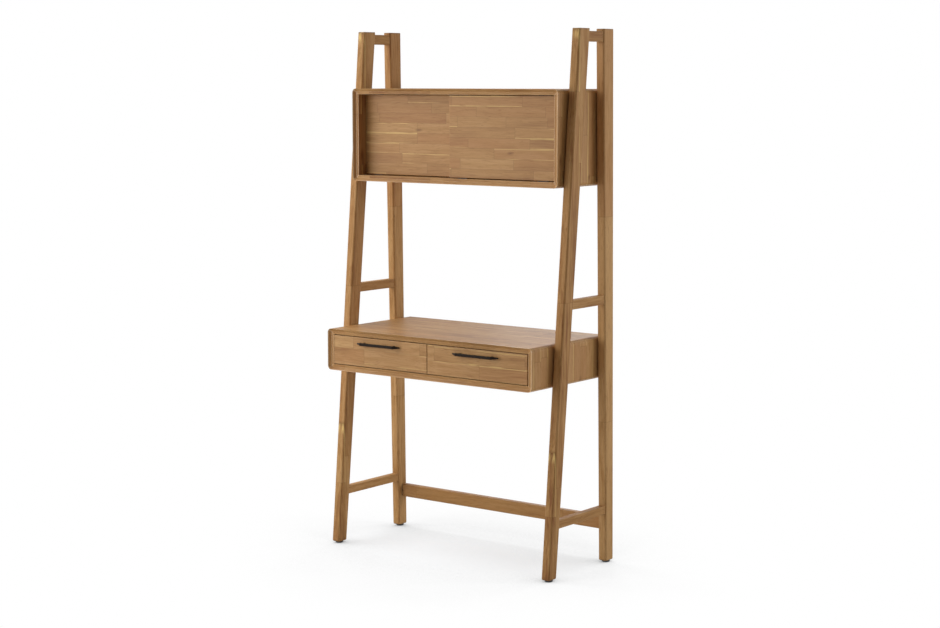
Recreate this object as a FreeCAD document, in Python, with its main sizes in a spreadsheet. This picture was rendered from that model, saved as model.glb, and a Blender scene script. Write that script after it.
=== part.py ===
import FreeCAD, Part
import math
import os
import types
import Sketcher

# Wall desk: two leaning side frames carry a desk box with two drawers and a cabinet with sliding doors.
# X runs across, Y from the front to the wall, Z up. The origin is on the floor, in the middle of the desk.

# Driving dimensions in millimetres
SIZES = {
    # whole desk
    "box_width": 853,
    "desk_depth": 432,
    "frame_height": 1767,
    "spacer_gap": 3.5,
    # legs
    "leg_width": 31.5,
    "leg_foot_depth": 43.5,
    "leg_top_depth": 59,
    "leg_edge_radius": 6,
    "leg_foot_radius": 5,
    "leg_top_radius": 1.5,
    "front_leg_foot_setback": 52,
    "rear_leg_foot_gap": 2.5,
    "rear_leg_top_gap": 26.5,
    "leg_top_spacing": 78,
    # stretchers of the side frames
    "stretcher_width": 24,
    "stretcher_edge_radius": 2.5,
    "top_stretcher_height": 33.5,
    "top_stretcher_drop": 8.5,
    "middle_stretcher_height": 31,
    "middle_stretcher_lift": 109,
    "low_stretcher_height": 28,
    "low_stretcher_underside": 167,
    "dowel_diameter": 8,
    "dowel_length": 36,
    "dowel_spacing": 13,
    "dowel_clearance": 0.1,
    # glides
    "glide_diameter": 27,
    "glide_height": 6,
    "glide_chamfer": 2,
    "glide_stem_diameter": 5,
    "glide_stem_length": 18,
    # back rail
    "rail_height": 45,
    "rail_thickness": 24,
    "rail_underside": 109.5,
    "rail_wall_gap": 6.5,
    "rail_edge_radius": 3,
    "stud_diameter": 6,
    "stud_rail_length": 36,
    "stud_leg_length": 18,
    "cross_nut_diameter": 10,
    "cross_nut_length": 20,
    "cross_nut_setback": 25,
    # both boxes
    "board": 19,
    "corner_radius": 14,
    "rim_bevel": 9.5,
    "rim_least_radius": 1,
    "back_panel": 9,
    # bolts that hold the boxes to the legs
    "bolt_diameter": 6,
    "bolt_head_diameter": 14,
    "bolt_head_height": 3,
    "bolt_inset": 18,
    "bolt_clearance": 0.2,
    "insert_diameter": 9,
    "insert_length": 13,
    "spacer_diameter": 20,
    # desk box
    "desk_height": 762,
    "desk_box_height": 141,
    "divider_setback": 4,
    # cabinet box
    "cabinet_drop": 193,
    "cabinet_box_height": 314,
    "cabinet_depth": 295,
    "wall_hole_diameter": 5.5,
    "wall_hole_spacing": 400,
    "wall_hole_drop": 40,
    # sliding doors
    "door_thickness": 18,
    "door_setback": 8,
    "door_spacing": 13,
    "door_overlap": 40,
    "door_side_gap": 1,
    "door_foot_gap": 3,
    "door_head_gap": 2,
    "door_edge_radius": 1.5,
    "groove_width": 6,
    "groove_foot_depth": 5,
    "groove_head_depth": 8,
    "glider_length": 40,
    "glider_inset": 30,
    "glider_seat": 10,
    "glider_head_reach": 4,
    "running_gap": 0.3,
    # drawers
    "drawer_gap": 2.5,
    "drawer_proud": 2,
    "drawer_front_thickness": 18,
    "drawer_front_radius": 1.5,
    "drawer_side": 13,
    "drawer_side_gap": 3,
    "drawer_side_height": 80,
    "drawer_foot_gap": 8,
    "drawer_rear_gap": 20,
    "drawer_bottom": 6,
    "drawer_bottom_lift": 8,
    "drawer_bottom_tongue": 5,
    "runner_height": 14,
    "runner_width": 10,
    "runner_setback": 10,
    # handles
    "handle_length": 187,
    "handle_bar_length": 142,
    "handle_reach": 21,
    "handle_bar_depth": 8,
    "handle_edge_radius": 1,
    "handle_tip_gap": 7,
    "handle_tip_length": 17,
    "handle_tip_height": 4.5,
    "handle_height": 9,
    "handle_drop": 20.5,
    "handle_post_diameter": 8,
    "handle_post_spacing": 128,
    "handle_screw_diameter": 4,
    "handle_screw_head_diameter": 8,
    "handle_screw_head_height": 2.5,
    "handle_screw_grip": 10,
    # every cut runs past the face it opens by this much
    "overrun": 2,
}

doc = FreeCAD.newDocument("wall_desk")
sheet = doc.addObject("Spreadsheet::Sheet", "Sizes")
for row, (alias, number) in enumerate(SIZES.items(), start=1):
    sheet.set(f"A{row}", alias)
    sheet.set(f"B{row}", str(number))
    sheet.setAlias(f"B{row}", alias)
doc.recompute()


class Dim:
    """A length that keeps the sheet formula it comes from."""

    def __init__(self, value, formula):
        self.value = value
        self.formula = formula

    def joined(self, sign, other, value):
        text = other.formula if isinstance(other, Dim) else f"({other})"
        return Dim(value, f"({self.formula} {sign} {text})")

    def __add__(self, other):
        return self.joined("+", other, self.value + plain(other))

    def __sub__(self, other):
        return self.joined("-", other, self.value - plain(other))

    def __mul__(self, other):
        return self.joined("*", other, self.value * plain(other))

    def __truediv__(self, other):
        return self.joined("/", other, self.value / plain(other))

    def __neg__(self):
        return self * -1


def plain(length):
    return length.value if isinstance(length, Dim) else length


def larger(first, second):
    return Dim(max(first.value, second.value), f"max({first.formula}; {second.formula})")


size = types.SimpleNamespace(**{alias: Dim(float(sheet.get(alias)), f"Sizes.{alias}") for alias in SIZES})
ZERO = Dim(0.0, "0")
SIDES = {"left": -1, "right": 1}
POSTS = ("front", "rear")

# How the pieces are placed and cut
AXES = {
    "+x": FreeCAD.Rotation(FreeCAD.Vector(0, 1, 0), 90),
    "-x": FreeCAD.Rotation(FreeCAD.Vector(0, 1, 0), -90),
    "+y": FreeCAD.Rotation(FreeCAD.Vector(1, 0, 0), -90),
    "-y": FreeCAD.Rotation(FreeCAD.Vector(1, 0, 0), 90),
    "+z": FreeCAD.Rotation(),
}
nodes = []


def bind(item, lengths):
    for name, length in lengths.items():
        item.setExpression(name, length.formula)


def put(item, place, axis="+z"):
    item.Placement = FreeCAD.Placement(FreeCAD.Vector(*(length.value for length in place)), AXES[axis])
    bind(item, {f"Placement.Base.{letter}": length for letter, length in zip("xyz", place)})


def new_body(label):
    body = doc.addObject("PartDesign::Body", label)
    body.Label = label
    nodes.append(body)
    return body


def fill(item, low, high):
    """Makes a box item reach from the low corner to the high one."""
    put(item, low)
    bind(item, {edge: end - start for edge, start, end in zip(("Length", "Width", "Height"), low, high)})


def block(name, low, high):
    item = doc.addObject("Part::Box", name)
    fill(item, low, high)
    return item


def slab(label, low, high):
    body = new_body(label)
    fill(body.newObject("PartDesign::AdditiveBox", f"{label}_Slab"), low, high)
    return body


def cut_box(body, low, high):
    fill(body.newObject("PartDesign::SubtractiveBox", f"{body.Name}_Groove"), low, high)


def drill(body, axis, place, diameter, length):
    hole = body.newObject("PartDesign::SubtractiveCylinder", f"{body.Name}_Hole")
    put(hole, place, axis)
    bind(hole, {"Radius": diameter / 2, "Height": length})


def sketch_on(body, role, offset):
    sketch = body.newObject("Sketcher::SketchObject", f"{body.Name}_Sketch")
    plane = next(feature for feature in body.Origin.OriginFeatures if feature.Role == role)
    sketch.AttachmentSupport = (plane, [""])
    sketch.MapMode = "FlatFace"
    bind(sketch, {"AttachmentOffset.Base.z": offset})
    return sketch


def arc_between(start, end, radius):
    chord = end - start
    rise = math.sqrt(radius ** 2 - chord.Length ** 2 / 4)
    inward = FreeCAD.Vector(-chord.y, chord.x, 0).normalize()
    centre = (start + end) * 0.5 + inward * rise
    angles = [math.atan2(point.y - centre.y, point.x - centre.x) for point in (start, end)]
    if angles[1] < angles[0]:
        angles[1] += 2 * math.pi
    return Part.ArcOfCircle(Part.Circle(centre, FreeCAD.Vector(0, 0, 1), radius), *angles)


def measure(sketch, name, constraint, length):
    index = sketch.addConstraint(constraint)
    sketch.renameConstraint(index, name)
    bind(sketch, {f"Constraints.{name}": length})


def outline(sketch, corners):
    """Draws a closed outline anticlockwise; a corner with a radius starts a round stretch."""
    points = [FreeCAD.Vector(corner[0].value, corner[1].value, 0) for corner in corners]
    first = sketch.GeometryCount
    count = len(corners)
    for index, corner in enumerate(corners):
        ends = points[index], points[(index + 1) % count]
        edge = arc_between(*ends, corner[2].value) if len(corner) > 2 else Part.LineSegment(*ends)
        sketch.addGeometry(edge)
    for index in range(count):
        following = first + (index + 1) % count
        sketch.addConstraint(Sketcher.Constraint("Coincident", first + index, 2, following, 1))
    for index, corner in enumerate(corners, start=first):
        for kind, length in zip(("DistanceX", "DistanceY"), corner):
            constraint = Sketcher.Constraint(kind, index, 1, length.value)
            measure(sketch, f"{kind}{index}", constraint, length)
        if len(corner) > 2:
            constraint = Sketcher.Constraint("Radius", index, corner[2].value)
            measure(sketch, f"Radius{index}", constraint, corner[2])


def rounded_rectangle(sketch, low, high, radius):
    (left, bottom), (right, top) = low, high
    outline(sketch, [
        (left + radius, bottom), (right - radius, bottom, radius),
        (right, bottom + radius), (right, top - radius, radius),
        (right - radius, top), (left + radius, top, radius),
        (left, top - radius), (left, bottom + radius, radius),
    ])


def pad(body, sketch, length):
    feature = body.newObject("PartDesign::Pad", f"{body.Name}_Pad")
    feature.Profile = (sketch, [""])
    bind(feature, {"Length": length})


def loft(body, kind, sections):
    feature = body.newObject(f"PartDesign::{kind}Loft", f"{body.Name}_{kind}Loft")
    feature.Profile = (sections[0], [""])
    feature.Sections = [(section, [""]) for section in sections[1:]]
    feature.Ruled = True


def round_over(body, picks, radius):
    """Rounds the edges of the piece that the rule picks."""
    doc.recompute()
    base = body.Tip
    edges = [f"Edge{index}" for index, edge in enumerate(base.Shape.Edges, start=1) if picks(edge)]
    fillet = body.newObject("PartDesign::Fillet", f"{body.Name}_Fillet")
    fillet.Base = (base, edges)
    bind(fillet, {"Radius": radius})


def running(letters):
    """A rule that picks the edges which run nearest to one of the axes."""
    def picks(edge):
        along = edge.tangentAt(edge.FirstParameter)
        return max("xyz", key=lambda letter: abs(getattr(along, letter))) in letters
    return picks


def level_with(z):
    """A rule that picks the edges which lie at one height."""
    return lambda edge: all(math.isclose(vertex.Z, z.value) for vertex in edge.Vertexes)


def cylinder(name, axis, place, diameter, length):
    rod = doc.addObject("Part::Cylinder", name)
    put(rod, place, axis)
    bind(rod, {"Radius": diameter / 2, "Height": length})
    return rod


def fused(name, pieces):
    union = doc.addObject("Part::MultiFuse", name)
    union.Shapes = pieces
    return union


def ring(name, axis, place, outer, inner, length):
    cut = doc.addObject("Part::Cut", name)
    cut.Base = cylinder(f"{name}_body", axis, place, outer, length)
    cut.Tool = cylinder(f"{name}_bore", axis, place, inner, length)
    return cut


def group(label, pieces):
    compound = doc.addObject("Part::Compound", label)
    compound.Label = label
    compound.Links = pieces
    nodes.append(compound)


def across(side, near, far):
    """The lower and higher X of a piece that lies from near to far on one side of the middle."""
    return (near, far) if side > 0 else (-far, -near)


# Planes that the pieces share: the handles stand out in front of the desk, and the whole is centred
handle_overhang = size.handle_reach + size.drawer_proud - size.rim_bevel
wall_y = (size.desk_depth + handle_overhang) / 2
front_y = wall_y - size.desk_depth
box_side_x = size.box_width / 2
leg_inner_x = box_side_x + size.spacer_gap
leg_outer_x = leg_inner_x + size.leg_width
leg_middle_x = leg_inner_x + size.leg_width / 2


def at_height(foot, top, z):
    return foot + (top - foot) * (z / size.frame_height)


def leg_depth(z):
    return at_height(size.leg_foot_depth, size.leg_top_depth, z)


def leg_front(post, z):
    if post == "rear":
        return wall_y - at_height(size.rear_leg_foot_gap, size.rear_leg_top_gap, z) - leg_depth(z)
    top_y = wall_y - size.rear_leg_top_gap - size.leg_top_depth * 2 - size.leg_top_spacing
    return at_height(front_y + size.front_leg_foot_setback, top_y, z)


def leg_back(post, z):
    return leg_front(post, z) + leg_depth(z)


def leg_centre(post, z):
    return leg_front(post, z) + leg_depth(z) / 2


# Heights of the stretchers' undersides and tops
top_underside = size.frame_height - size.top_stretcher_drop - size.top_stretcher_height
middle_underside = size.desk_height + size.middle_stretcher_lift
low_underside = size.low_stretcher_underside
stretchers = {
    "top": (top_underside, top_underside + size.top_stretcher_height),
    "middle": (middle_underside, middle_underside + size.middle_stretcher_height),
    "low": (low_underside, low_underside + size.low_stretcher_height),
}
dowel_bore = size.dowel_diameter + size.dowel_clearance * 2
dowel_reach = size.dowel_length / 2 + size.dowel_clearance


def dowel_heights(low, high):
    middle = (low + high) / 2
    return middle - size.dowel_spacing / 2, middle + size.dowel_spacing / 2


# The two boxes: sides at the same X, backs on the wall plane
def new_box(name, underside, top, front):
    return types.SimpleNamespace(
        name=name, low=underside, high=top, front=front, lip=front + size.rim_bevel,
        floor=underside + size.board, ceiling=top - size.board, back=wall_y - size.back_panel)


desk = new_box("desk", size.desk_height - size.desk_box_height, size.desk_height, front_y)
cabinet_high = size.frame_height - size.cabinet_drop
cabinet_low = cabinet_high - size.cabinet_box_height
cabinet = new_box("cabinet", cabinet_low, cabinet_high, wall_y - size.cabinet_depth)
inner_x = box_side_x - size.board


def bolt_heights(box):
    return box.floor + size.bolt_inset, box.ceiling - size.bolt_inset


# The low rail between the rear legs
rail_back_y = wall_y - size.rail_wall_gap
rail_front_y = rail_back_y - size.rail_thickness
rail_middle_y = rail_back_y - size.rail_thickness / 2
rail_middle_z = size.rail_underside + size.rail_height / 2


# Legs: tapered posts with rounded edges, drilled for dowels, inserts, studs and glides
def make_leg(label, side, post):
    body = new_body(label)
    foot, top = size.glide_height, size.frame_height
    sketch = sketch_on(body, "YZ_Plane", across(side, leg_inner_x, leg_outer_x)[0])
    outline(sketch, [(leg_front(post, foot), foot), (leg_back(post, foot), foot),
                     (leg_back(post, top), top), (leg_front(post, top), top)])
    pad(body, sketch, size.leg_width)
    round_over(body, running("z"), size.leg_edge_radius)
    round_over(body, level_with(foot), size.leg_foot_radius)
    round_over(body, level_with(top), size.leg_top_radius)
    for low, high in stretchers.values():
        for z in dowel_heights(low, high):
            seat = leg_back(post, z) if post == "front" else leg_front(post, z)
            way = 1 if post == "front" else -1
            place = (leg_middle_x * side, seat + size.overrun * way, z)
            drill(body, "-y" if post == "front" else "+y", place, dowel_bore, dowel_reach + size.overrun)
    outward = "+x" if side > 0 else "-x"
    mouth_x = (leg_inner_x - size.overrun) * side
    for box in (desk, cabinet):
        for z in bolt_heights(box):
            place = (mouth_x, leg_centre(post, z), z)
            drill(body, outward, place, size.insert_diameter, size.insert_length + size.overrun)
    if post == "rear":
        place = (mouth_x, rail_middle_y, rail_middle_z)
        drill(body, outward, place, size.stud_diameter, size.stud_leg_length + size.overrun)
    place = (leg_middle_x * side, leg_centre(post, ZERO), foot - size.overrun)
    drill(body, "+z", place, size.glide_stem_diameter, size.glide_stem_length + size.overrun)


# Stretchers: short bars whose ends follow the slope of the legs
def make_stretcher(label, side, low, high):
    body = new_body(label)
    near = leg_inner_x + (size.leg_width - size.stretcher_width) / 2
    sketch = sketch_on(body, "YZ_Plane", across(side, near, near + size.stretcher_width)[0])
    outline(sketch, [(leg_back("front", low), low), (leg_front("rear", low), low),
                     (leg_front("rear", high), high), (leg_back("front", high), high)])
    pad(body, sketch, size.stretcher_width)
    round_over(body, running("y"), size.stretcher_edge_radius)
    for z in dowel_heights(low, high):
        x = leg_middle_x * side
        length = dowel_reach + size.overrun
        drill(body, "+y", (x, leg_back("front", z) - size.overrun, z), dowel_bore, length)
        drill(body, "-y", (x, leg_front("rear", z) + size.overrun, z), dowel_bore, length)


dowels = []
for side_name, side in SIDES.items():
    for post in POSTS:
        make_leg(f"{side_name}_{post}_leg", side, post)
    for stretcher_name, (low, high) in stretchers.items():
        make_stretcher(f"{side_name}_{stretcher_name}_stretcher", side, low, high)
        for z in dowel_heights(low, high):
            for seat in (leg_back("front", z), leg_front("rear", z)):
                place = (leg_middle_x * side, seat - size.dowel_length / 2, z)
                dowels.append(cylinder("Dowel", "+y", place, size.dowel_diameter, size.dowel_length))
group("frame_dowels", dowels)

# Glides: discs with a chamfered rim and a stem pressed into the leg
glides = []
for side in SIDES.values():
    for post in POSTS:
        x = leg_middle_x * side
        y = leg_centre(post, ZERO)
        radius = size.glide_diameter / 2
        rim = doc.addObject("Part::Cone", "GlideRim")
        put(rim, (x, y, ZERO))
        bind(rim, {"Radius1": radius - size.glide_chamfer, "Radius2": radius, "Height": size.glide_chamfer})
        place = (x, y, size.glide_chamfer)
        disc_height = size.glide_height - size.glide_chamfer
        disc = cylinder("GlideDisc", "+z", place, size.glide_diameter, disc_height)
        stem_height = disc_height + size.glide_stem_length
        stem = cylinder("GlideStem", "+z", place, size.glide_stem_diameter, stem_height)
        glides.append(fused("Glide", [rim, disc, stem]))
group("floor_glides", glides)

# Back rail: a bar as long as the boxes are wide, drilled for its studs and cross nuts
rail = slab("back_rail", (-box_side_x, rail_front_y, size.rail_underside),
            (box_side_x, rail_back_y, size.rail_underside + size.rail_height))
round_over(rail, running("x"), size.rail_edge_radius)
cross_nut_x = box_side_x - size.cross_nut_setback
cross_nut_top = rail_middle_z + size.cross_nut_length / 2
rail_spacers, rail_studs, rail_nuts = [], [], []
for side in SIDES.values():
    outward, inward = ("+x", "-x") if side > 0 else ("-x", "+x")
    mouth = ((box_side_x + size.overrun) * side, rail_middle_y, rail_middle_z)
    drill(rail, inward, mouth, size.stud_diameter, size.stud_rail_length + size.overrun)
    nut_mouth = (cross_nut_x * side, rail_middle_y, size.rail_underside - size.overrun)
    drill(rail, "+z", nut_mouth, size.cross_nut_diameter, cross_nut_top - nut_mouth[2])
    end = (box_side_x * side, rail_middle_y, rail_middle_z)
    spacer = ring("RailSpacer", outward, end, size.spacer_diameter, size.stud_diameter, size.spacer_gap)
    rail_spacers.append(spacer)
    stud_start = ((box_side_x - size.stud_rail_length) * side, rail_middle_y, rail_middle_z)
    stud_length = size.stud_rail_length + size.spacer_gap + size.stud_leg_length
    rail_studs.append(cylinder("RailStud", outward, stud_start, size.stud_diameter, stud_length))
    nut = doc.addObject("Part::Cut", "CrossNut")
    nut_foot = (cross_nut_x * side, rail_middle_y, cross_nut_top - size.cross_nut_length)
    nut.Base = cylinder("CrossNutBody", "+z", nut_foot, size.cross_nut_diameter, size.cross_nut_length)
    bore_start = ((cross_nut_x - size.cross_nut_diameter) * side, rail_middle_y, rail_middle_z)
    bore_length = size.cross_nut_diameter * 2
    nut.Tool = cylinder("CrossNutBore", outward, bore_start, size.stud_diameter, bore_length)
    rail_nuts.append(nut)
group("rail_spacers", rail_spacers)
group("rail_studs", rail_studs)
group("rail_cross_nuts", rail_nuts)

# Boards of a box: mitred at rounded corners, with a rim that slopes in to a flat lip
MITRE_SHARE = 1 - math.sqrt(0.5)


def box_corner(box, side, up):
    x = box_side_x * side
    z = box.high if up > 0 else box.low
    level = (x - size.corner_radius * side, z)
    upright = (x, z - size.corner_radius * up)
    before, after = (upright, level) if side == up else (level, upright)
    cut = size.corner_radius * MITRE_SHARE
    return types.SimpleNamespace(before=before, after=after, mitre=(x - cut * side, z - cut * up),
                                 inner=(inner_x * side, box.ceiling if up > 0 else box.floor))


def make_board(box, place, start, end):
    body = new_body(f"{box.name}_{place}")
    sketch = sketch_on(body, "XZ_Plane", -wall_y)
    outline(sketch, [(*start.mitre, size.corner_radius), start.after, (*end.before, size.corner_radius),
                     end.mitre, end.inner, start.inner])
    pad(body, sketch, wall_y - box.front)
    sections = []
    lip_radius = larger(size.corner_radius - size.rim_bevel, size.rim_least_radius)
    for inset, radius in ((-size.overrun, size.corner_radius + size.overrun), (size.rim_bevel, lip_radius)):
        section = sketch_on(body, "XZ_Plane", -(box.front + inset))
        low = (-box_side_x + inset, box.low + inset)
        high = (box_side_x - inset, box.high - inset)
        rounded_rectangle(section, low, high, radius)
        sections.append(section)
    loft(body, "Subtractive", sections)
    return body


boards = {}
for box in (desk, cabinet):
    bottom_right, top_right = box_corner(box, 1, -1), box_corner(box, 1, 1)
    top_left, bottom_left = box_corner(box, -1, 1), box_corner(box, -1, -1)
    boards[box.name, "right"] = make_board(box, "right_side", bottom_right, top_right)
    boards[box.name, "top"] = make_board(box, "top", top_right, top_left)
    boards[box.name, "left"] = make_board(box, "left_side", top_left, bottom_left)
    boards[box.name, "bottom"] = make_board(box, "bottom", bottom_left, bottom_right)
    back_corners = (-inner_x, box.back, box.floor), (inner_x, wall_y, box.ceiling)
    boards[box.name, "back"] = slab(f"{box.name}_back", *back_corners)

# Bolts from inside each box, through spacer rings, into inserts in the legs
bolt_bore = size.bolt_diameter + size.bolt_clearance * 2
head_bore = size.bolt_head_diameter + size.bolt_clearance * 2
bolt_length = size.board + size.spacer_gap + size.insert_length
inserts = []
for box in (desk, cabinet):
    bolts, spacers = [], []
    for side_name, side in SIDES.items():
        outward = "+x" if side > 0 else "-x"
        board = boards[box.name, side_name]
        for post in POSTS:
            for z in bolt_heights(box):
                y = leg_centre(post, z)
                mouth = ((inner_x - size.overrun) * side, y, z)
                drill(board, outward, mouth, bolt_bore, size.board + size.overrun * 2)
                drill(board, outward, mouth, head_bore, size.bolt_head_height + size.overrun)
                seat = (inner_x * side, y, z)
                head = cylinder("BoltHead", outward, seat, size.bolt_head_diameter, size.bolt_head_height)
                shank = cylinder("BoltShank", outward, seat, size.bolt_diameter, bolt_length)
                bolts.append(fused("Bolt", [head, shank]))
                seat = (box_side_x * side, y, z)
                spacer_sizes = size.spacer_diameter, bolt_bore, size.spacer_gap
                spacers.append(ring("Spacer", outward, seat, *spacer_sizes))
                seat = (leg_inner_x * side, y, z)
                insert_sizes = size.insert_diameter, size.bolt_diameter, size.insert_length
                inserts.append(ring("Insert", outward, seat, *insert_sizes))
    group(f"{box.name}_bolts", bolts)
    group(f"{box.name}_spacers", spacers)
group("leg_inserts", inserts)

# Holes in the cabinet's back for the screws that hold the desk to the wall
wall_hole_z = cabinet.ceiling - size.wall_hole_drop
wall_hole_length = size.back_panel + size.overrun * 2
for way in SIDES.values():
    place = (size.wall_hole_spacing / 2 * way, cabinet.back - size.overrun, wall_hole_z)
    drill(boards["cabinet", "back"], "+y", place, size.wall_hole_diameter, wall_hole_length)

# Sliding doors: the right one runs in the front grooves, the left one behind it
door_foot = cabinet.floor + size.door_foot_gap
door_head = cabinet.ceiling - size.door_head_gap
groove_foot = cabinet.floor - size.groove_foot_depth
foot_glider_heights = groove_foot + size.running_gap, door_foot + size.glider_seat
head_glider_heights = door_head - size.glider_seat, cabinet.ceiling + size.glider_head_reach
front_door_y = cabinet.lip + size.door_setback
rear_door_y = front_door_y + size.door_thickness + size.door_spacing
for side_name, side, door_y in (("right", 1, front_door_y), ("left", -1, rear_door_y)):
    left, right = across(side, -size.door_overlap / 2, inner_x - size.door_side_gap)
    door_back_y = door_y + size.door_thickness
    door = slab(f"{side_name}_door", (left, door_y, door_foot), (right, door_back_y, door_head))
    round_over(door, running("xz"), size.door_edge_radius)
    groove_y = door_y + (size.door_thickness - size.groove_width) / 2
    groove_end_y = groove_y + size.groove_width
    cut_box(boards["cabinet", "bottom"], (-inner_x, groove_y, groove_foot),
            (inner_x, groove_end_y, cabinet.floor + size.overrun))
    cut_box(boards["cabinet", "top"], (-inner_x, groove_y, cabinet.ceiling - size.overrun),
            (inner_x, groove_end_y, cabinet.ceiling + size.groove_head_depth))
    gliders = []
    for start in (left + size.glider_inset, right - size.glider_inset - size.glider_length):
        for low, high in (foot_glider_heights, head_glider_heights):
            corner = (start, groove_y + size.running_gap, low)
            far_corner = (start + size.glider_length, groove_end_y - size.running_gap, high)
            cut_box(door, corner, far_corner)
            gliders.append(block("Glider", corner, far_corner))
    group(f"{side_name}_door_gliders", gliders)

# Divider between the drawers, behind their fronts
drawer_face_y = desk.lip - size.drawer_proud
drawer_front_back_y = drawer_face_y + size.drawer_front_thickness
slab("desk_divider", (-size.board / 2, drawer_front_back_y + size.divider_setback, desk.floor),
     (size.board / 2, desk.back, desk.ceiling))

# Drawers: a front, two grooved sides, a back and a bottom let into grooves, hung on runners
side_low = desk.floor + size.drawer_foot_gap
side_high = side_low + size.drawer_side_height
drawer_end_y = desk.back - size.drawer_rear_gap
runner_low = (side_low + side_high) / 2 - size.runner_height / 2
runner_high = runner_low + size.runner_height
groove_reach = size.runner_width - size.drawer_side_gap + size.running_gap
bottom_low = side_low + size.drawer_bottom_lift
bottom_high = bottom_low + size.drawer_bottom
front_low = desk.floor + size.drawer_gap
front_high = desk.ceiling - size.drawer_gap
handle_z = front_high - size.handle_drop
handle_screw_x = size.handle_post_spacing / 2
screw_bore = size.handle_screw_diameter + size.bolt_clearance * 2


def make_handle(label, middle_x):
    """A flat bar on two posts: its ends sweep back towards the drawer front and narrow to points."""
    body = new_body(label)
    half, bar_half = size.handle_length / 2, size.handle_bar_length / 2
    face = drawer_face_y
    bar_front = face - size.handle_reach
    bar_back = bar_front + size.handle_bar_depth
    tip_y = face - size.handle_tip_gap
    tip_inner = half - size.handle_tip_length
    bar_inner = bar_half - size.handle_bar_depth / 2
    sketch = sketch_on(body, "XY_Plane", handle_z - size.handle_height / 2)
    outline(sketch, [(middle_x - half, tip_y), (middle_x - bar_half, bar_front),
                     (middle_x + bar_half, bar_front), (middle_x + half, tip_y),
                     (middle_x + tip_inner, tip_y), (middle_x + bar_inner, bar_back),
                     (middle_x - bar_inner, bar_back), (middle_x - tip_inner, tip_y)])
    pad(body, sketch, size.handle_height)
    tips = sketch_on(body, "XZ_Plane", -face)
    for way in SIDES.values():
        for up in (1, -1):
            shoulder = (middle_x + bar_half * way, handle_z + size.handle_height / 2 * up)
            tip = (middle_x + half * way, handle_z + size.handle_tip_height / 2 * up)
            beyond = (middle_x + (half + size.overrun) * way, handle_z + size.handle_tip_height / 2 * up)
            corner = (beyond[0], handle_z + (size.handle_height / 2 + size.overrun) * up)
            above = (shoulder[0], corner[1])
            points = [shoulder, tip, beyond, corner, above]
            outline(tips, points if way == up else points[::-1])
    pocket = body.newObject("PartDesign::Pocket", f"{label}_Tips")
    pocket.Profile = (tips, [""])
    pocket.Midplane = True
    bind(pocket, {"Length": (size.handle_reach + size.overrun) * 2})
    round_over(body, running("x"), size.handle_edge_radius)
    for way in SIDES.values():
        place = (middle_x + handle_screw_x * way, face, handle_z)
        post = body.newObject("PartDesign::AdditiveCylinder", f"{label}_Post")
        put(post, place, "-y")
        bind(post, {"Radius": size.handle_post_diameter / 2, "Height": face - bar_back + size.overrun})
        mouth = (place[0], face + size.overrun, handle_z)
        drill(body, "-y", mouth, size.handle_screw_diameter, size.handle_screw_grip + size.overrun)


def make_drawer_box(name, left, right, front):
    """Two grooved sides, a back and a bottom behind the front."""
    inner_left, inner_right = left + size.drawer_side, right - size.drawer_side
    start_y, end_y = drawer_front_back_y, drawer_end_y
    back_y = end_y - size.drawer_side
    left_wall = slab(f"{name}_left_side", (left, start_y, side_low), (inner_left, end_y, side_high))
    right_wall = slab(f"{name}_right_side", (inner_right, start_y, side_low), (right, end_y, side_high))
    rear_wall = slab(f"{name}_back", (inner_left, back_y, side_low), (inner_right, end_y, side_high))
    for wall, low_x, high_x in ((left_wall, left - size.overrun, left + groove_reach),
                                (right_wall, right - groove_reach, right + size.overrun)):
        low = (low_x, start_y - size.overrun, runner_low - size.running_gap)
        high = (high_x, end_y + size.overrun, runner_high + size.running_gap)
        cut_box(wall, low, high)
    tongue = size.drawer_bottom_tongue
    low = (inner_left - tongue, start_y - tongue, bottom_low)
    high = (inner_right + tongue, back_y + tongue, bottom_high)
    slab(f"{name}_bottom", low, high)
    for wall in (front, left_wall, right_wall, rear_wall):
        cut_box(wall, low, high)


def make_handle_screws(label, middle_x, front):
    screws = []
    for way in SIDES.values():
        x = middle_x + handle_screw_x * way
        mouth = (x, drawer_face_y - size.overrun, handle_z)
        drill(front, "+y", mouth, screw_bore, size.drawer_front_thickness + size.overrun * 2)
        seat = (x, drawer_front_back_y, handle_z)
        head_diameter, head_height = size.handle_screw_head_diameter, size.handle_screw_head_height
        head = cylinder("ScrewHead", "+y", seat, head_diameter, head_height)
        length = size.drawer_front_thickness + size.handle_screw_grip
        shank = cylinder("ScrewShank", "-y", seat, size.handle_screw_diameter, length)
        screws.append(fused("HandleScrew", [head, shank]))
    group(label, screws)


for side_name, side in SIDES.items():
    name = f"{side_name}_drawer"
    left, right = across(side, size.drawer_gap / 2, inner_x - size.drawer_gap)
    middle_x = (left + right) / 2
    front = slab(f"{name}_front", (left, drawer_face_y, front_low), (right, drawer_front_back_y, front_high))
    round_over(front, running("xz"), size.drawer_front_radius)
    bay_left, bay_right = across(side, size.board / 2, inner_x)
    make_drawer_box(name, bay_left + size.drawer_side_gap, bay_right - size.drawer_side_gap, front)
    runners = []
    for low_x in (bay_left, bay_right - size.runner_width):
        low = (low_x, drawer_front_back_y + size.runner_setback, runner_low)
        runners.append(block("Runner", low, (low_x + size.runner_width, desk.back, runner_high)))
    group(f"{name}_runners", runners)
    make_handle(f"{name}_handle", middle_x)
    make_handle_screws(f"{name}_handle_screws", middle_x, front)

# Every piece is whole before any is written
doc.recompute()
faults = [item.Label for item in doc.Objects if {"Invalid", "Error"} & set(item.State)]
faults += [node.Label for node in nodes if node.Shape.isNull() or not node.Shape.isValid()]
if faults:
    raise RuntimeError(f"these pieces failed: {faults}")
os.makedirs("parts", exist_ok=True)
for node in nodes:
    node.Shape.exportStep(f"parts/{node.Label}.step")
    print(node.Label, len(node.Shape.Solids), round(node.Shape.Volume))
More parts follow.
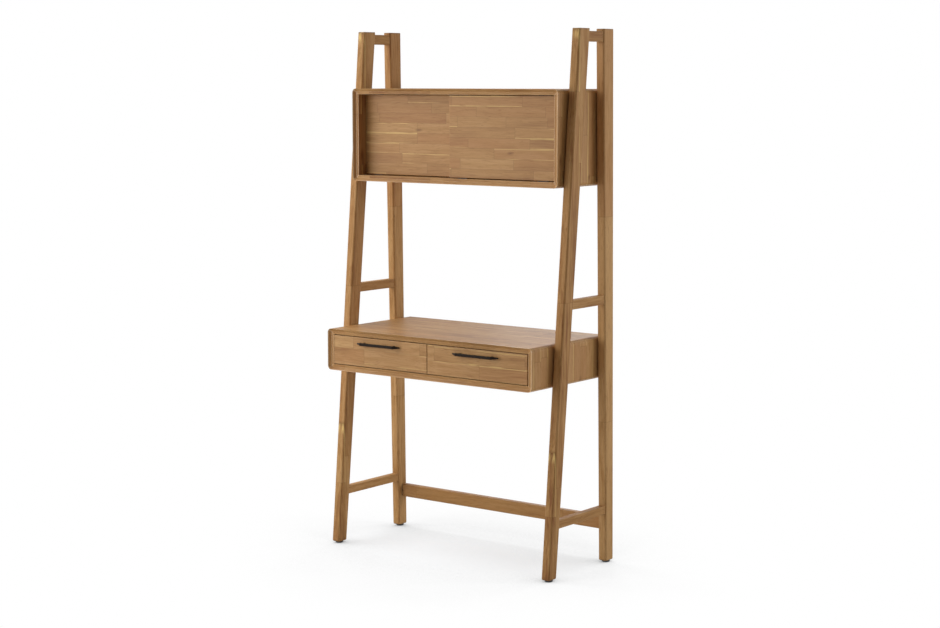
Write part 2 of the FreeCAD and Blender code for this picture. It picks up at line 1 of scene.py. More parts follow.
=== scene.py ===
import bpy
import math
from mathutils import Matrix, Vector


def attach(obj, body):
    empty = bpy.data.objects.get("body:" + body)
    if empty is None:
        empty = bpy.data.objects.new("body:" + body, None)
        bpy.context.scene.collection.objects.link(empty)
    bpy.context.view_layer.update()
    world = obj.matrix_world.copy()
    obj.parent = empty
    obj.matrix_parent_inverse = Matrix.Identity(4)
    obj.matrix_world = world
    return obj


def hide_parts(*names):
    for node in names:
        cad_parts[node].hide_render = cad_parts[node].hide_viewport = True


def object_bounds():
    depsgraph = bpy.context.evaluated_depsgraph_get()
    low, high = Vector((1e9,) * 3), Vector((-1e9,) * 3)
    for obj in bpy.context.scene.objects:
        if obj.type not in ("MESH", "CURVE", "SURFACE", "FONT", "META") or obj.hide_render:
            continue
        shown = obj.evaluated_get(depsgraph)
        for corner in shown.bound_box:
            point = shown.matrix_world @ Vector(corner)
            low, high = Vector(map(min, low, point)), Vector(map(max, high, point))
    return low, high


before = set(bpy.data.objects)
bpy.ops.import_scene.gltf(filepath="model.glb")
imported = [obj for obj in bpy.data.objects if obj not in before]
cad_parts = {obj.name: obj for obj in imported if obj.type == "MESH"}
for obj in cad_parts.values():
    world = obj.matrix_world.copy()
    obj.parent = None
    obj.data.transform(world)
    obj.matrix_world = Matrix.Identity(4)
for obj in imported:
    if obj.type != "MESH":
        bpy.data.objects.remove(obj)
cad_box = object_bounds()

# Legs
# Four tapering legs of solid acacia, joined end to end from shorter lengths and sanded round at the edges.
# The front legs lean back and the rear ones a little forward, and everything else is fixed to them.
MM = 0.001
GRAIN_UP = (0, math.radians(90), 0)
LEG_STAVE = (120, 700)
LEG_TONES = {"left_front": 0.02, "left_rear": 0.03, "right_front": 0.0, "right_rear": 0.08}
# Width of the dark band painted along the legs' edges as painted shade
LEG_EDGE_SHADE_WIDTH = 7
ACACIA_DEEP = "885931"
ACACIA_HONEY = "AD804C"
ACACIA_PALE = "C19662"
ACACIA_RED = "A2683C"
ACACIA_SAP = "DDB873"
# Dark glue-line colour, also painted along the legs' edges as painted shade
ACACIA_SEAM_AND_EDGE_SHADE = "5A381B"
ACACIA_KNOT = "623819"
# Pale edge colour and its width: wear, and a painted highlight along the boards' edges
ACACIA_WORN_HIGHLIGHT = "D6B586"
WORN_HIGHLIGHT_WIDTH = 2.5
PLAIN_SPREAD = 0.21
LEG_SPREAD = 0.11
SATIN = 0.4
MATT = 0.52
SOFT_SHINE = 0.2


def linear(hex_colour):
    """An sRGB hex colour as linear red, green, blue and alpha"""
    full, knee, slope, offset, power = 255, 0.04045, 12.92, 0.055, 2.4
    shares = []
    for value in bytes.fromhex(hex_colour):
        share = value / full
        shares.append(share / slope if share <= knee else ((share + offset) / (1 + offset)) ** power)
    return (*shares, 1)


def add(material, kind, values=None, links=None, **settings):
    """One node with its settings, the values of its free sockets and the links into the others"""
    node = material.node_tree.nodes.new(kind)
    for key, setting in settings.items():
        setattr(node, key, setting)
    for socket, value in (values or {}).items():
        node.inputs[socket].default_value = value
    for socket, source in (links or {}).items():
        material.node_tree.links.new(source, node.inputs[socket])
    return node


def new_finish(name):
    """An empty finish and its shader"""
    finish = bpy.data.materials.new(name)
    finish.use_nodes = True
    return finish, finish.node_tree.nodes["Principled BSDF"]


def oiled_acacia(name, turn, stave, shift=(0, 0, 0), tone=0.0, spread=PLAIN_SPREAD, dullness=SATIN,
                 shine=SOFT_SHINE, edge_tint=ACACIA_WORN_HIGHLIGHT, edge_shading_width=WORN_HIGHLIGHT_WIDTH):
    """Acacia in staves glued side by side and end to end, planed and oiled. Each stave has its own tone
    and figure, fibres run along it, its ends show as thin dark lines, and some edges keep a line of pale
    sapwood. The oil gives a soft, broad shine, duller in the open pores, which are drawn some seven times
    as coarse as real ones, so that they show."""
    # Sizes in mm
    stave_width, stave_length = stave
    sap_width, seam_width, end_width = 3.2, 0.9, 1.6
    figure_size, fibre_size, pore_size, cloud_size = (15, 280), (4.5, 130), (2.2, 40), (70, 380)
    waver_length, waver_reach = 170, 22
    knot_length, knot_width = 310, 110
    pore_depth = 0.25

    # How staves and streaks differ, then where each mark starts and is strongest, and the share of its tint
    tree_step = (1.7, 0.4, 0.4)
    row_jump, stave_jitter_share = 7.31, 0.8
    streak_detail, streak_roughness = 3, 0.6
    middle_share, fibre_share, cloud_share, stave_share = 0.5, 0.45, 0.3, 0.09
    pore_start, pore_full, pore_most_share = 0.44, 0.28, 0.75
    red_start, red_full, red_most_share = 0.2, 0.5, 0.3
    sap_start, sap_full, sap_most_share = 0.45, 0.6, 0.85
    sap_run_start, sap_run_full = 0.42, 0.52
    seam_most_share, end_most_share = 0.4, 0.32
    knot_start, knot_reach_share, knot_most_share = 0.55, 0.1, 0.7
    # The edge band, painted paler as wear and a painted highlight, or darker as painted shade
    edge_start, edge_full, edge_most_share = 0.99, 0.91, 0.75
    pore_dullness, wear_polish = 0.16, -0.4
    bevel_samples, pit_strength, oil_ior = 4, 0.3, 1.45

    # Directions of the grain
    wood, shader = new_finish(name)
    links = wood.node_tree.links
    place = add(wood, "ShaderNodeTexCoord")
    grain = add(wood, "ShaderNodeMapping", {"Rotation": turn, "Location": [step * MM for step in shift]},
                {"Vector": place.outputs["Object"]}).outputs["Vector"]
    axes = add(wood, "ShaderNodeSeparateXYZ", links={"Vector": grain})

    # Rows of staves, glued end to end
    rows = add(wood, "ShaderNodeMath", {1: stave_width * MM}, {0: axes.outputs["Y"]},
               operation="DIVIDE").outputs[0]
    row = add(wood, "ShaderNodeMath", links={0: rows}, operation="FLOOR").outputs[0]
    run = add(wood, "ShaderNodeMath", {1: stave_length * MM}, {0: axes.outputs["X"]},
              operation="DIVIDE").outputs[0]
    start = add(wood, "ShaderNodeMath", {1: row_jump}, {0: row, 2: run},
                operation="MULTIPLY_ADD").outputs[0]
    cell = add(wood, "ShaderNodeTexVoronoi", {"Scale": 1, "Randomness": stave_jitter_share}, {"W": start},
               voronoi_dimensions="1D").outputs["Color"]
    chance = add(wood, "ShaderNodeSeparateColor", links={"Color": cell})
    end = add(wood, "ShaderNodeTexVoronoi", {"Scale": 1, "Randomness": stave_jitter_share}, {"W": start},
              voronoi_dimensions="1D", feature="DISTANCE_TO_EDGE").outputs["Distance"]

    # Each stave is cut from another place in the tree, and its fibres waver
    waver = add(wood, "ShaderNodeTexNoise", {"Scale": 1 / (waver_length * MM), "Detail": 1},
                {"Vector": grain}).outputs["Color"]
    wavered = add(wood, "ShaderNodeVectorMath", {1: (0, waver_reach * MM, waver_reach * MM)},
                  {0: waver, 2: grain}, operation="MULTIPLY_ADD").outputs[0]
    tree = add(wood, "ShaderNodeVectorMath", {1: tree_step}, {0: cell, 2: wavered},
               operation="MULTIPLY_ADD").outputs[0]
    streaks = []
    for source, size in ((tree, figure_size), (tree, fibre_size), (tree, pore_size), (wavered, cloud_size)):
        width, length = size
        drawn = add(wood, "ShaderNodeMapping", {"Scale": (width / length, 1, 1)}, {"Vector": source})
        streak = add(wood, "ShaderNodeTexNoise",
                     {"Scale": 1 / (width * MM), "Detail": streak_detail, "Roughness": streak_roughness},
                     {"Vector": drawn.outputs["Vector"]})
        streaks.append(streak.outputs["Fac"])
    figure, fibre, pore, cloud = streaks

    # Tone within a stave, and a paler or deeper stave now and then
    tones = figure
    for share, layer in ((fibre_share, fibre), (cloud_share, cloud), (stave_share, chance.outputs["Red"])):
        tones = add(wood, "ShaderNodeMix", {"Factor": share}, {"A": tones, "B": layer}).outputs["Result"]
    toned = add(wood, "ShaderNodeMapRange",
                {"From Min": middle_share - spread - tone, "From Max": middle_share + spread - tone},
                {"Value": tones})
    ramp = add(wood, "ShaderNodeValToRGB", links={"Fac": toned.outputs["Result"]})
    ramp.color_ramp.elements[0].color = linear(ACACIA_DEEP)
    ramp.color_ramp.elements[1].color = linear(ACACIA_PALE)
    ramp.color_ramp.elements.new(middle_share).color = linear(ACACIA_HONEY)

    # Open pores, redder heartwood, sapwood along some stave edges, glue lines and pin knots
    pore_share = add(wood, "ShaderNodeMapRange",
                     {"From Min": pore_start, "From Max": pore_full, "To Max": pore_most_share},
                     {"Value": pore})
    red = add(wood, "ShaderNodeMath", links={0: cloud, 1: chance.outputs["Green"]}, operation="MULTIPLY")
    red_share = add(wood, "ShaderNodeMapRange",
                    {"From Min": red_start, "From Max": red_full, "To Max": red_most_share},
                    {"Value": red.outputs[0]})
    edge = add(wood, "ShaderNodeMath", {1: middle_share}, {0: rows}, operation="PINGPONG").outputs[0]
    sap_edge = add(wood, "ShaderNodeMapRange",
                   {"From Min": sap_width / stave_width, "From Max": sap_width / stave_width / 2},
                   {"Value": edge}).outputs["Result"]
    sap_stave = add(wood, "ShaderNodeMapRange",
                    {"From Min": sap_start, "From Max": sap_full, "To Max": sap_most_share},
                    {"Value": chance.outputs["Blue"]}).outputs["Result"]
    sap_run = add(wood, "ShaderNodeMapRange", {"From Min": sap_run_start, "From Max": sap_run_full},
                  {"Value": figure}).outputs["Result"]
    sap_place = add(wood, "ShaderNodeMath", links={0: sap_edge, 1: sap_stave},
                    operation="MULTIPLY").outputs[0]
    sap_share = add(wood, "ShaderNodeMath", links={0: sap_place, 1: sap_run}, operation="MULTIPLY")
    seam_share = add(wood, "ShaderNodeMapRange",
                     {"From Min": seam_width / stave_width, "From Max": 0, "To Max": seam_most_share},
                     {"Value": edge})
    end_share = add(wood, "ShaderNodeMapRange",
                    {"From Min": end_width / stave_length, "From Max": 0, "To Max": end_most_share},
                    {"Value": end})
    knot_place = add(wood, "ShaderNodeMapping",
                     {"Scale": (1 / (knot_length * MM), 1 / (knot_width * MM), 1)}, {"Vector": wavered})
    knot = add(wood, "ShaderNodeTexVoronoi", {"Scale": 1}, {"Vector": knot_place.outputs["Vector"]},
               voronoi_dimensions="2D")
    knot_kind = add(wood, "ShaderNodeSeparateColor", links={"Color": knot.outputs["Color"]})
    knot_size = add(wood, "ShaderNodeMapRange",
                    {"From Min": knot_start, "From Max": 1, "To Max": knot_reach_share},
                    {"Value": knot_kind.outputs["Red"]})
    knot_share = add(wood, "ShaderNodeMapRange", {"From Max": 0, "To Max": knot_most_share},
                     {"Value": knot.outputs["Distance"], "From Min": knot_size.outputs["Result"]})
    colour = ramp.outputs["Color"]
    for share, tint in ((pore_share, ACACIA_DEEP), (red_share, ACACIA_RED), (sap_share, ACACIA_SAP),
                        (seam_share, ACACIA_SEAM_AND_EDGE_SHADE), (end_share, ACACIA_SEAM_AND_EDGE_SHADE), (knot_share, ACACIA_KNOT)):
        colour = add(wood, "ShaderNodeMix", {"B": linear(tint)}, {"Factor": share.outputs[0], "A": colour},
                     data_type="RGBA").outputs["Result"]

    # Edges are smoothed by wear from hands; their colour is painted paler on the boards, as wear and a
    # painted highlight, and darker on the legs, as painted shade
    rounded = add(wood, "ShaderNodeBevel", {"Radius": edge_shading_width * MM}, samples=bevel_samples)
    facing = add(wood, "ShaderNodeNewGeometry")
    bend = add(wood, "ShaderNodeVectorMath",
               links={0: rounded.outputs["Normal"], 1: facing.outputs["True Normal"]},
               operation="DOT_PRODUCT")
    worn_shaded_edge = add(wood, "ShaderNodeMapRange",
               {"From Min": edge_start, "From Max": edge_full, "To Max": edge_most_share},
               {"Value": bend.outputs["Value"]}).outputs["Result"]
    colour = add(wood, "ShaderNodeMix", {"B": linear(edge_tint)}, {"Factor": worn_shaded_edge, "A": colour},
                 data_type="RGBA").outputs["Result"]
    dull = add(wood, "ShaderNodeMapRange", {"To Min": dullness + pore_dullness, "To Max": dullness},
               {"Value": pore}).outputs["Result"]
    polish = add(wood, "ShaderNodeMath", {1: wear_polish}, {0: worn_shaded_edge, 2: dull},
                 operation="MULTIPLY_ADD").outputs[0]
    pits = add(wood, "ShaderNodeBump", {"Strength": pit_strength, "Distance": pore_depth * MM},
               {"Height": pore})
    links.new(colour, shader.inputs["Base Color"])
    links.new(polish, shader.inputs["Roughness"])
    links.new(pits.outputs["Normal"], shader.inputs["Normal"])
    shader.inputs["IOR"].default_value = oil_ior
    shader.inputs["Specular IOR Level"].default_value = shine
    return wood


def dress(names, finish):
    """Gives CAD nodes one finish"""
    for name in names:
        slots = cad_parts[name].data.materials
        slots.clear()
        slots.append(finish)


# Each leg's edges take the dark seam colour as painted shade
for leg, tone in LEG_TONES.items():
    leg_wood = oiled_acacia(f"acacia oiled {leg} leg", GRAIN_UP, LEG_STAVE, tone=tone, spread=LEG_SPREAD,
                            dullness=MATT, edge_tint=ACACIA_SEAM_AND_EDGE_SHADE, edge_shading_width=LEG_EDGE_SHADE_WIDTH)
    dress([f"{leg}_leg"], leg_wood)

# Glides
# A round button of black polyethylene under each leg, moulded in one piece with its stem.
# The stem is pressed into a hole in the leg, and the button keeps the end grain off the floor.
POLYETHYLENE_BLACK = "1D1B19"
POLYETHYLENE_SCUFF = "34302C"
GLIDE_ROUNDING = 0.7
ROUNDING_STEPS = 3
MERGE_REACH = 0.001
FLAT_ANGLE = math.radians(0.5)
SHARP_ANGLE = math.radians(30)


def moulded(name, dark, scuffed):
    """Moulded polyethylene: nearly black and dull, with a waxy sheen and paler scuffs"""
    scuff_size, scuff_depth, scuff_detail, dent_strength = 3, 0.1, 4, 0.15
    scuff_start, scuff_full = 0.5, 0.75
    least_dullness, most_dullness = 0.4, 0.62
    polyethylene_ior = 1.51
    finish, shader = new_finish(name)
    place = add(finish, "ShaderNodeTexCoord")
    scuff = add(finish, "ShaderNodeTexNoise", {"Scale": 1 / (scuff_size * MM), "Detail": scuff_detail},
                {"Vector": place.outputs["Object"]}).outputs["Fac"]
    share = add(finish, "ShaderNodeMapRange", {"From Min": scuff_start, "From Max": scuff_full},
                {"Value": scuff})
    colour = add(finish, "ShaderNodeMix", {"A": linear(dark), "B": linear(scuffed)},
                 {"Factor": share.outputs["Result"]}, data_type="RGBA")
    dull = add(finish, "ShaderNodeMapRange", {"To Min": least_dullness, "To Max": most_dullness},
               {"Value": scuff})
    dents = add(finish, "ShaderNodeBump", {"Strength": dent_strength, "Distance": scuff_depth * MM},
                {"Height": scuff})
    finish.node_tree.links.new(colour.outputs["Result"], shader.inputs["Base Color"])
    finish.node_tree.links.new(dull.outputs["Result"], shader.inputs["Roughness"])
    finish.node_tree.links.new(dents.outputs["Normal"], shader.inputs["Normal"])
    shader.inputs["IOR"].default_value = polyethylene_ior
    return finish


def loose_solids(node):
    """Copies of a CAD node's separate solids, merged and freed of needless edges"""
    bpy.ops.object.select_all(action="DESELECT")
    copied = bpy.data.objects.new(f"{node}_solid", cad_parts[node].data.copy())
    bpy.context.scene.collection.objects.link(copied)
    copied.select_set(True)
    bpy.context.view_layer.objects.active = copied
    bpy.ops.object.mode_set(mode="EDIT")
    bpy.ops.mesh.select_all(action="SELECT")
    bpy.ops.mesh.remove_doubles(threshold=MERGE_REACH * MM)
    bpy.ops.mesh.customdata_custom_splitnormals_clear()
    bpy.ops.mesh.dissolve_limited(angle_limit=FLAT_ANGLE)
    bpy.ops.mesh.separate(type="LOOSE")
    bpy.ops.object.mode_set(mode="OBJECT")
    return list(bpy.context.selected_objects)


def soften(piece, rounding):
    """Rounds a piece's sharp edges"""
    bpy.ops.object.select_all(action="DESELECT")
    piece.select_set(True)
    bpy.context.view_layer.objects.active = piece
    edges = piece.modifiers.new("rounding", "BEVEL")
    edges.width = rounding * MM
    edges.segments = ROUNDING_STEPS
    edges.limit_method = "ANGLE"
    edges.angle_limit = SHARP_ANGLE
    bpy.ops.object.modifier_apply(modifier=edges.name)
    bpy.ops.object.shade_smooth_by_angle(angle=SHARP_ANGLE)


def fit_piece(piece, name, node, body, finish):
    """Puts a finished piece in a CAD node's stead"""
    piece.name = name
    piece.data.materials.clear()
    piece.data.materials.append(finish)
    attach(piece, body)
    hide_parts(node)


polyethylene = moulded("polyethylene moulded black", POLYETHYLENE_BLACK, POLYETHYLENE_SCUFF)
for count, glide in enumerate(loose_solids("floor_glides")):
    soften(glide, GLIDE_ROUNDING)
    fit_piece(glide, f"floor_glide_{count}", "floor_glides", "frame", polyethylene)

# Stretchers
# Three acacia cross pieces in each side frame, with the grain from front to back.
# Each is glued to its two legs on dowels that don't show.
SIDES = ("left", "right")
GRAIN_BACK = (0, 0, math.radians(-90))
STRETCHER_STAVE = (90, 900)
LIVELY_SPREAD = 0.15
DOWEL_TONE = 0.06
stretcher_wood = oiled_acacia("acacia oiled stretchers", GRAIN_BACK, STRETCHER_STAVE, spread=LIVELY_SPREAD,
                              dullness=MATT)
dress([f"{side}_{level}_stretcher" for side in SIDES for level in ("top", "middle", "low")], stretcher_wood)
dress(["frame_dowels"], oiled_acacia("acacia turned dowels", GRAIN_BACK, STRETCHER_STAVE, tone=DOWEL_TONE))

# Back rail
# One acacia rail, low between the rear legs. At each end a zinc-plated steel stud runs from the leg through
# a black plastic ring into a cross nut in the rail, which draws the two together.
GRAIN_ACROSS_STANDING = (math.radians(-90), 0, 0)
RAIL_STAVE = (60, 600)
RAIL_SHIFT = (0, 17, 0)
ZINC = "A9A9A6"
ZINC_DARK = "7E7F7D"
ZINC_ROUGHNESS = 0.38


def metal(name, bright, dark, roughness):
    """Metal with a satin shine, clouded by the grain of its plating or lacquer, which is drawn coarser than
    it is, so that it shows"""
    grain_size, grain_depth, grain_detail, dent_strength = 2.2, 0.05, 3, 0.1
    dull_share, bright_share = 1.25, 0.8
    finish, shader = new_finish(name)
    place = add(finish, "ShaderNodeTexCoord")
    cloud = add(finish, "ShaderNodeTexNoise", {"Scale": 1 / (grain_size * MM), "Detail": grain_detail},
                {"Vector": place.outputs["Object"]}).outputs["Fac"]
    colour = add(finish, "ShaderNodeMix", {"A": linear(dark), "B": linear(bright)}, {"Factor": cloud},
                 data_type="RGBA")
    dull = add(finish, "ShaderNodeMapRange",
               {"To Min": roughness * dull_share, "To Max": roughness * bright_share}, {"Value": cloud})
    dents = add(finish, "ShaderNodeBump", {"Strength": dent_strength, "Distance": grain_depth * MM},
                {"Height": cloud})
    finish.node_tree.links.new(colour.outputs["Result"], shader.inputs["Base Color"])
    finish.node_tree.links.new(dull.outputs["Result"], shader.inputs["Roughness"])
    finish.node_tree.links.new(dents.outputs["Normal"], shader.inputs["Normal"])
    shader.inputs["Metallic"].default_value = 1
    return finish


dress(["back_rail"], oiled_acacia("acacia oiled rail", GRAIN_ACROSS_STANDING, RAIL_STAVE, RAIL_SHIFT))
zinc_plate = metal("steel zinc plated", ZINC, ZINC_DARK, ZINC_ROUGHNESS)
dress(["rail_studs", "rail_cross_nuts"], zinc_plate)
dress(["rail_spacers"], polyethylene)

# Desk box and cabinet box
# Acacia panels glued up from staves and mitred at the corners, so that the grain runs round each box.
# The front rim is bevelled inwards, and its edges are painted pale, as wear and a painted highlight.
GRAIN_ACROSS_LYING = (0, 0, 0)
BOX_STAVE = (37, 310)
BOX_SHIFTS = {"desk": (0, 9, 0), "cabinet": (190, 9, 0)}
# Tones of the side boards: the cabinet's left side, seen from inside, is painted darker as painted shade,
# and the desk's right side paler as painted light
SIDE_SHADING_TONES = {"desk_left": 0.05, "desk_right": 0.08, "cabinet_left": -0.08, "cabinet_right": 0.02}
# Upright rim edges are painted palest and lying ones pale, as wear and a painted highlight
RIM_WORN_HIGHLIGHT = "EBCEA5"
RIM_WORN_HIGHLIGHT_WIDTH = 4.5
for box, shift in BOX_SHIFTS.items():
    lying = oiled_acacia(f"acacia staves oiled {box} lying", GRAIN_ACROSS_LYING, BOX_STAVE, shift,
                         spread=LIVELY_SPREAD, edge_tint=ACACIA_PALE, edge_shading_width=RIM_WORN_HIGHLIGHT_WIDTH)
    dress([f"{box}_top", f"{box}_bottom"], lying)
    for side in SIDES:
        board = f"{box}_{side}"
        upright = oiled_acacia(f"acacia staves oiled {board} side", GRAIN_UP, BOX_STAVE, shift,
                               tone=SIDE_SHADING_TONES[board], edge_tint=RIM_WORN_HIGHLIGHT, edge_shading_width=RIM_WORN_HIGHLIGHT_WIDTH)
        dress([f"{board}_side"], upright)

# Box backs and divider
# Thin boards veneered with broad leaves of acacia. The backs are let in between the boards, flush behind,
# and the divider stands between the two drawers.
LEAF = (142, 3600)
dress(["desk_back", "cabinet_back"], oiled_acacia("acacia veneer oiled backs", GRAIN_ACROSS_STANDING, LEAF))
dress(["desk_divider"], oiled_acacia("acacia veneer oiled divider", GRAIN_BACK, LEAF))

# Bolts
# Zinc-plated steel bolts with hexagon sockets, let into the boxes' sides from inside. Each runs through
# a black plastic ring, which keeps box and leg apart, into a turned brass insert in the leg.
BOLT_SOCKET_WIDTH = 4
BOLT_SOCKET_DEPTH = 2.2
BOLT_ROUNDING = 0.35
SOCKET_CORNERS = 6
BRASS = "B4924E"
BRASS_DARK = "8A6C36"
BRASS_ROUGHNESS = 0.3


def cut_socket(screw, way, width, depth):
    """Sinks a hexagon socket, this wide across its flats, into the end of a screw that faces this way"""
    way = Vector(way)
    points = [vertex.co for vertex in screw.data.vertices]
    head = max(point.dot(way) for point in points)
    middle = sum(points, Vector()) / len(points)
    mouth = middle + way * (head - middle.dot(way))
    corner_reach = width / 2 / math.cos(math.pi / SOCKET_CORNERS)
    bpy.ops.object.select_all(action="DESELECT")
    bpy.ops.mesh.primitive_cylinder_add(
        vertices=SOCKET_CORNERS, radius=corner_reach * MM, depth=depth * 2 * MM, location=mouth,
        rotation=way.to_track_quat("Z", "Y").to_euler())
    key = bpy.context.object
    socket = screw.modifiers.new("socket", "BOOLEAN")
    socket.object = key
    socket.operation = "DIFFERENCE"
    bpy.context.view_layer.objects.active = screw
    bpy.ops.object.modifier_apply(modifier=socket.name)
    bpy.data.objects.remove(key)


for box in BOX_SHIFTS:
    for count, bolt in enumerate(loose_solids(f"{box}_bolts")):
        inwards = (-1, 0, 0) if bolt.data.vertices[0].co.x > 0 else (1, 0, 0)
        cut_socket(bolt, inwards, BOLT_SOCKET_WIDTH, BOLT_SOCKET_DEPTH)
        soften(bolt, BOLT_ROUNDING)
        fit_piece(bolt, f"{box}_bolt_{count}", f"{box}_bolts", "frame", zinc_plate)
    dress([f"{box}_spacers"], polyethylene)
dress(["leg_inserts"], metal("brass turned", BRASS, BRASS_DARK, BRASS_ROUGHNESS))

# Sliding doors
# Two plain panels glued up from short acacia staves, the right one in front of the left.
# Each runs on black plastic gliders in grooves of the cabinet's top and bottom boards.
DOOR_STAVE = (34, 250)
CALM_SPREAD = 0.25
FRONT_SHINE = 0.33
DOOR_SHIFTS = {"left": (430, 4, 0), "right": (-293, 13, 0)}
DOOR_SPREADS = {"left": PLAIN_SPREAD, "right": CALM_SPREAD}
for side, shift in DOOR_SHIFTS.items():
    door_wood = oiled_acacia(f"acacia staves oiled {side} door", GRAIN_ACROSS_STANDING, DOOR_STAVE, shift,
                             spread=DOOR_SPREADS[side], shine=FRONT_SHINE, edge_tint=ACACIA_HONEY)
    dress([f"{side}_door"], door_wood)
    dress([f"{side}_door_gliders"], polyethylene)

# Drawers
# Each has an inset front of acacia staves on a box of plain acacia boards, with grooved sides.
# The sides slide on runners of the same wood.
FRONT_STAVE = (48, 420)
FRONT_SHIFTS = {"left": (61, 20, 0), "right": (0, 31, 0)}
FRONT_TONE = 0.04
INNER_STAVE = (80, 1200)
INNER_TONE = 0.05
inner_wood = oiled_acacia("acacia plain inner boards", GRAIN_BACK, INNER_STAVE, tone=INNER_TONE)
inner_back = oiled_acacia("acacia plain inner backs", GRAIN_ACROSS_STANDING, INNER_STAVE, tone=INNER_TONE)
for side, shift in FRONT_SHIFTS.items():
    front_wood = oiled_acacia(f"acacia staves oiled {side} drawer front", GRAIN_ACROSS_STANDING, FRONT_STAVE,
                              shift, tone=FRONT_TONE, spread=LIVELY_SPREAD, shine=FRONT_SHINE)
    dress([f"{side}_drawer_front"], front_wood)
    dress([f"{side}_drawer_{part}" for part in ("left_side", "right_side", "bottom", "runners")], inner_wood)
    dress([f"{side}_drawer_back"], inner_back)

# Handles
# A pointed bar on two posts, cast in zinc alloy under a dark bronze lacquer.
# Two zinc-plated screws hold each from inside the drawer.
BRONZE = "2B2521"
BRONZE_DARK = "130F0C"
BRONZE_ROUGHNESS = 0.42
SCREW_SOCKET_WIDTH = 2.5
SCREW_SOCKET_DEPTH = 1.6
SCREW_ROUNDING = 0.25
bronze = metal("zinc alloy dark bronze lacquer", BRONZE, BRONZE_DARK, BRONZE_ROUGHNESS)
for side in SIDES:
    drawer = f"{side}_drawer"
    dress([f"{drawer}_handle"], bronze)
    for count, screw in enumerate(loose_solids(f"{drawer}_handle_screws")):
        cut_socket(screw, (0, 1, 0), SCREW_SOCKET_WIDTH, SCREW_SOCKET_DEPTH)
        soften(screw, SCREW_ROUNDING)
        fit_piece(screw, f"{drawer}_screw_{count}", f"{drawer}_handle_screws", drawer, zinc_plate)

# Floor and backdrop
# White paper under and behind the desk. It keeps the lamps' soft shadow between the legs, adds painted shade
# there and round the glides, from ambient occlusion, and fades to plain white further out.
FLOOR_SIZE = 16
PAPER = "E3E7EB"
PAPER_GLOW = 0.4
CONTACT_SHADE_REACH = 0.09
SHADE_REACH = 1.1
FADE_START_SHARE = 0.4
FADE_END_SHARE = 1.4
FADE_LEAST_SHARE = 0.5
SHADE_FULL_SHARE = 0.8
SHADE_LEAST_SHARE = 0.15
OCCLUSION_SAMPLES = 8
AMBIENT = 0.215


def seen_directly(owner):
    """1 where the camera, a reflection or a clear piece looks at the paper or the backdrop, otherwise 0"""
    path = add(owner, "ShaderNodeLightPath")
    seen = path.outputs["Is Camera Ray"]
    for ray in ("Is Glossy Ray", "Is Transmission Ray"):
        seen = add(owner, "ShaderNodeMath", links={0: seen, 1: path.outputs[ray]},
                   operation="MAXIMUM").outputs[0]
    return seen


bpy.ops.object.select_all(action="DESELECT")
bpy.ops.mesh.primitive_plane_add(size=FLOOR_SIZE)
floor = bpy.context.object
floor.name = "floor"
paper, paper_shader = new_finish("paper white")
paper.node_tree.nodes.remove(paper_shader)
place = add(paper, "ShaderNodeTexCoord")
low, high = (Vector((corner[0], corner[1], 0)) for corner in cad_box)
half = (high - low) / 2
footprint = add(paper, "ShaderNodeMapping", {"Location": (low + high) / 2, "Scale": (half.x, half.y, 1)},
                {"Vector": place.outputs["Object"]}, vector_type="TEXTURE")
reach = add(paper, "ShaderNodeVectorMath", links={0: footprint.outputs["Vector"]}, operation="LENGTH")
fade = add(paper, "ShaderNodeMapRange",
           {"From Min": FADE_START_SHARE, "From Max": FADE_END_SHARE, "To Min": FADE_LEAST_SHARE},
           {"Value": reach.outputs["Value"]}, interpolation_type="SMOOTHSTEP")
direct = seen_directly(paper)
fade_seen = add(paper, "ShaderNodeMath", links={0: fade.outputs["Result"], 1: direct}, operation="MULTIPLY")
# Ambient occlusion dims the paper's glow where the glides stand: painted shade
contact_shade = add(paper, "ShaderNodeAmbientOcclusion", {"Distance": CONTACT_SHADE_REACH}, samples=OCCLUSION_SAMPLES)
open_glow = add(paper, "ShaderNodeMath", {1: PAPER_GLOW}, {0: contact_shade.outputs["AO"]}, operation="MULTIPLY")
glow_level = add(paper, "ShaderNodeMath", links={0: open_glow.outputs[0], 1: direct}, operation="MULTIPLY")
sheet = add(paper, "ShaderNodeBsdfDiffuse", {"Color": linear(PAPER)})
glow = add(paper, "ShaderNodeEmission", links={"Strength": glow_level.outputs[0]})
lit_sheet = add(paper, "ShaderNodeAddShader", links={0: sheet.outputs[0], 1: glow.outputs[0]})
# Ambient occlusion dims the white backdrop under the desk: painted shade
cover_shade = add(paper, "ShaderNodeAmbientOcclusion", {"Distance": SHADE_REACH}, samples=OCCLUSION_SAMPLES)
shade = add(paper, "ShaderNodeMapRange", {"From Max": SHADE_FULL_SHARE, "To Min": SHADE_LEAST_SHARE},
            {"Value": cover_shade.outputs["AO"]})
backdrop = add(paper, "ShaderNodeEmission", links={"Strength": shade.outputs["Result"]})
whole = add(paper, "ShaderNodeMixShader",
            links={0: fade_seen.outputs[0], 1: lit_sheet.outputs[0], 2: backdrop.outputs[0]})
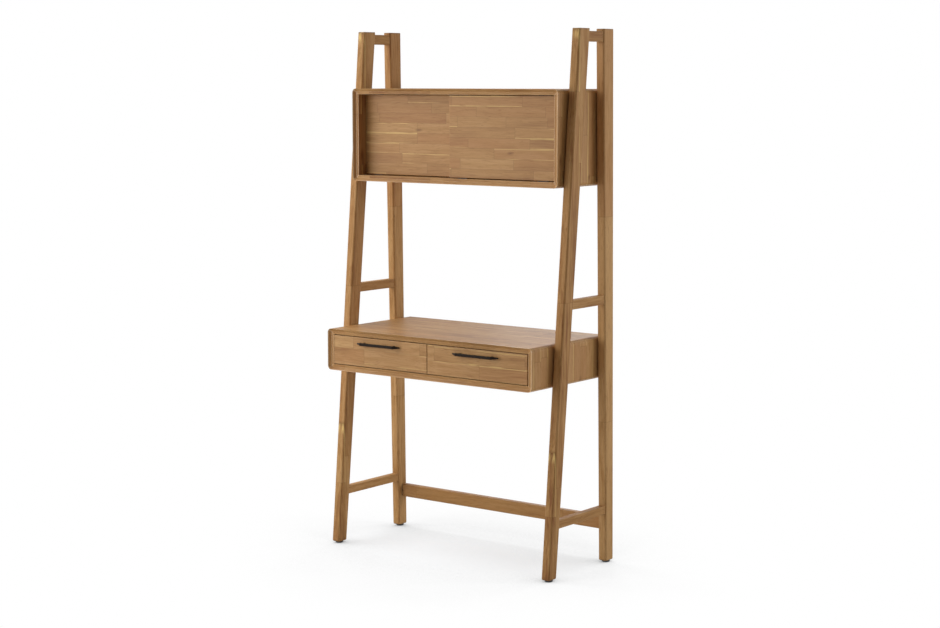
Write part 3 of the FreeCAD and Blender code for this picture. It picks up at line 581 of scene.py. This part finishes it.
paper.node_tree.links.new(whole.outputs[0], paper.node_tree.nodes["Material Output"].inputs["Surface"])
floor.data.materials.append(paper)
world = bpy.data.worlds.new("white studio")
bpy.context.scene.world = world
world.use_nodes = True
sky = world.node_tree.nodes["Background"]
sky.inputs["Color"].default_value = (1, 1, 1, 1)
level = add(world, "ShaderNodeMapRange", {"To Min": AMBIENT, "To Max": 1}, {"Value": seen_directly(world)})
world.node_tree.links.new(level.outputs["Result"], sky.inputs["Strength"])

# Lamps
# Soft square lamps round the desk, each given by its turn from the front, its height as an angle
# and its watts. The main ones stand at the front left, the weaker ones behind.
LAMP_AIM = Vector((0, 0, 0.85))
LAMP_DISTANCE = 3.6
LAMP_SIZE = 2.2
LAMPS = {
    "low key lamp": (-36, 12, 53),
    "high key lamp": (-72, 45, 66),
    "left lamp": (-72, 12, 24),
    "rear right lamp": (126, 12, 49),
    "rear left lamp": (-162, 12, 26),
}
for name, (azimuth, elevation, power) in LAMPS.items():
    turn, rise = math.radians(azimuth), math.radians(elevation)
    way = Vector((math.sin(turn) * math.cos(rise), -math.cos(turn) * math.cos(rise), math.sin(rise)))
    lamp = bpy.data.lights.new(name, "AREA")
    lamp.size = LAMP_SIZE
    lamp.energy = power
    holder = bpy.data.objects.new(name, lamp)
    holder.location = LAMP_AIM + way * LAMP_DISTANCE
    holder.rotation_euler = way.to_track_quat("Z", "Y").to_euler()
    holder.visible_camera = False
    bpy.context.scene.collection.objects.link(holder)

# Camera
# At the photograph's place, to the right of the desk and a little above its middle,
# with a long lens that shows the desk with little foreshortening.
CAMERA_PLACE = (3.94614, -5.15361, 1.59941)
CAMERA_TILT = math.radians(83.17)
CAMERA_TURN = math.radians(37.27)
CAMERA_LENS = 74.48
camera = bpy.data.cameras.new("camera")
camera.lens = CAMERA_LENS
viewer = bpy.data.objects.new("camera", camera)
viewer.location = CAMERA_PLACE
viewer.rotation_euler = (CAMERA_TILT, 0, CAMERA_TURN)
bpy.context.scene.collection.objects.link(viewer)
bpy.context.scene.camera = viewer
bpy.context.scene.view_settings.view_transform = "Standard"
